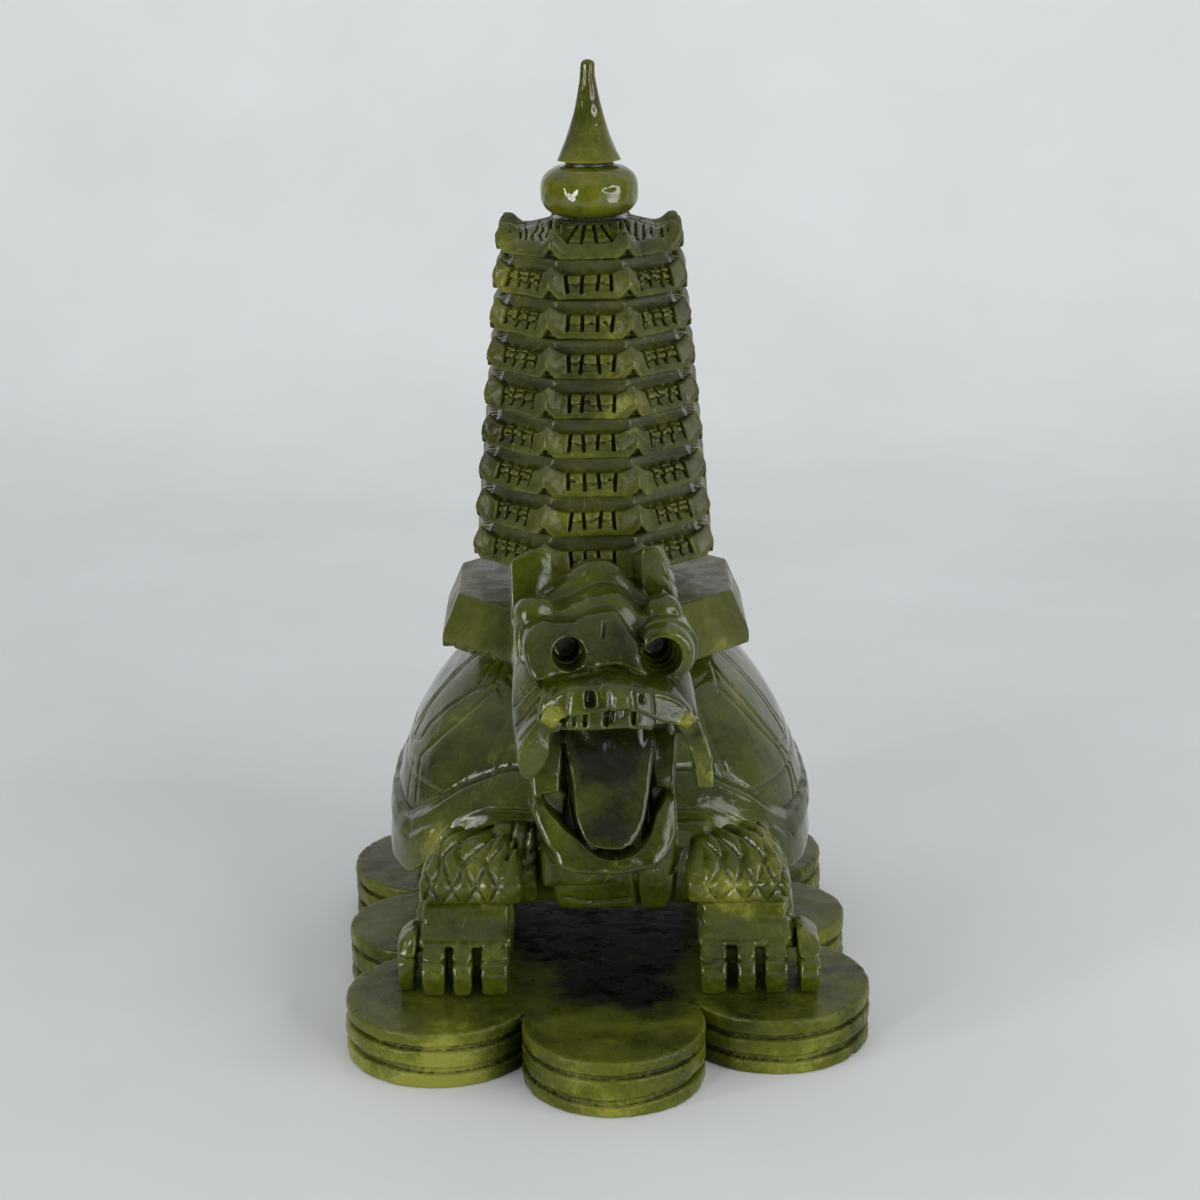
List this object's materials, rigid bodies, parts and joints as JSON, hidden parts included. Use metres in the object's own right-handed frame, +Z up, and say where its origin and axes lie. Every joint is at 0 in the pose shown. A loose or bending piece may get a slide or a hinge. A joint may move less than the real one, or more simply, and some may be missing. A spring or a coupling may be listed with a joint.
{
  "type": "dragon turtle figure",
  "caption": "Carved green stone figure of a dragon-headed turtle with an open mouth that carries a tall tiered pagoda on its back and stands on a lobed base plate.",
  "frame": {"origin": "under the middle of the base plate, on its flat underside", "axes": "+Z up along the pagoda, the dragon looks towards -Y, +X is to the right of a viewer who faces the dragon"},
  "size_m": [0.1112, 0.1432, 0.2],
  "materials": {
    "plate_stone": "polished mottled dark green stone",
    "turtle_stone": "polished dark green stone",
    "plinth_stone": "polished olive green stone",
    "pagoda_stone": "satin olive green stone with saw marks",
    "finial_stone": "polished olive green stone"
  },
  "bodies": {
    "root": {"base_plate": "plate_stone", "dragon_turtle": "turtle_stone", "pagoda_plinth": "plinth_stone", "pagoda": "pagoda_stone", "finial": "finial_stone"}
  },
  "joints": []
}
